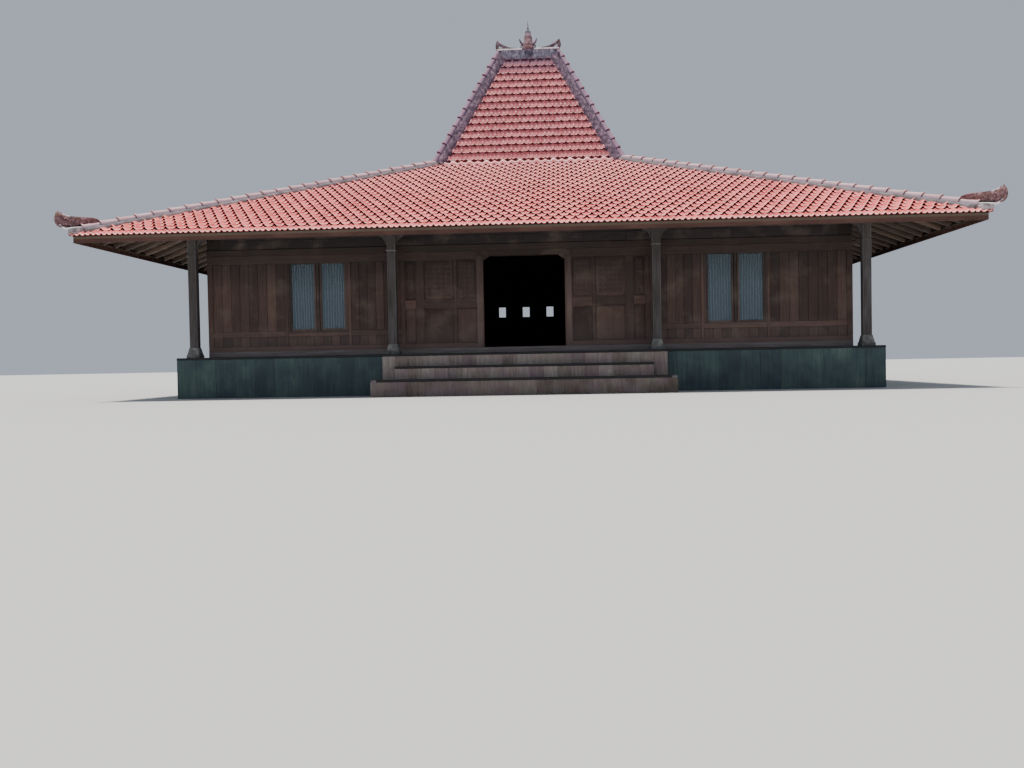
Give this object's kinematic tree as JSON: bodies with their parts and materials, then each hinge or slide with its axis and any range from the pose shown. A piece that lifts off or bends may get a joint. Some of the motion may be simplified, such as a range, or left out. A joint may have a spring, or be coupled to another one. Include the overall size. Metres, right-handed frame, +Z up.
{
  "type": "joglo house",
  "caption": "Timber hall with panel walls and posts on a stone plinth with front steps, under a wide hipped clay-tile roof that carries a steep upper roof with ridge ornaments.",
  "frame": {"origin": "centre of the plinth at ground level, under the middle of the house", "axes": "+Z up, +X to the right seen from the front, -Y the front with the steps and the door"},
  "size_m": [18.2642, 16.6842, 10.1403],
  "materials": {
    "plinth_stone": "matt dark grey-green stone cladding",
    "step_stone": "matt brown-grey stone facing with dark nosings",
    "post_teak": "weathered grey-brown teak",
    "wall_teak": "dark red-brown teak boards and panels, satin",
    "frame_teak": "red-brown teak frames, satin",
    "fascia_board": "faded light brown board",
    "clay_tile": "fired clay, orange-red, matt",
    "ridge_mortar": "grey weathered mortar",
    "ornament_clay": "brown-orange fired clay with weathering",
    "glass": "clear window glass",
    "curtain": "thin blue-white curtain cloth",
    "base_stone": "grey dressed stone"
  },
  "bodies": {
    "root": {"plinth": "plinth_stone", "middle_step": "step_stone", "bottom_step": "step_stone", "front_post_1": "post_teak", "front_post_2": "post_teak", "front_post_3": "post_teak", "front_post_4": "post_teak", "back_post_1": "post_teak", "back_post_2": "post_teak", "back_post_3": "post_teak", "back_post_4": "post_teak", "left_post_1": "post_teak", "left_post_2": "post_teak", "right_post_1": "post_teak", "right_post_2": "post_teak", "main_post_1": "post_teak", "main_post_2": "post_teak", "main_post_3": "post_teak", "main_post_4": "post_teak", "front_eave_beam": "post_teak", "right_eave_beam": "post_teak", "back_eave_beam": "post_teak", "left_eave_beam": "post_teak", "upper_ring_beam": "post_teak", "front_wall_left": "wall_teak", "front_wall_right": "wall_teak", "front_wall_over_door": "wall_teak", "back_wall": "wall_teak", "left_wall": "wall_teak", "right_wall": "wall_teak", "door_frame": "frame_teak", "front_window_left": "frame_teak", "front_window_right": "frame_teak", "left_window": "frame_teak", "right_window": "frame_teak", "lower_roof_front": "clay_tile", "lower_roof_right": "clay_tile", "lower_roof_back": "clay_tile", "lower_roof_left": "clay_tile", "fascia": "fascia_board", "upper_roof_front": "clay_tile", "upper_roof_right": "clay_tile", "upper_roof_back": "clay_tile", "upper_roof_left": "clay_tile", "lower_hip_front_right": "ridge_mortar", "upper_hip_front_right": "ridge_mortar", "lower_hip_back_right": "ridge_mortar", "upper_hip_back_right": "ridge_mortar", "lower_hip_back_left": "ridge_mortar", "upper_hip_back_left": "ridge_mortar", "lower_hip_front_left": "ridge_mortar", "upper_hip_front_left": "ridge_mortar", "corner_ornament_front_right": "ornament_clay", "corner_ornament_back_right": "ornament_clay", "corner_ornament_back_left": "ornament_clay", "corner_ornament_front_left": "ornament_clay", "ridge": "ridge_mortar", "finial": "ornament_clay"}
  },
  "joints": []
}
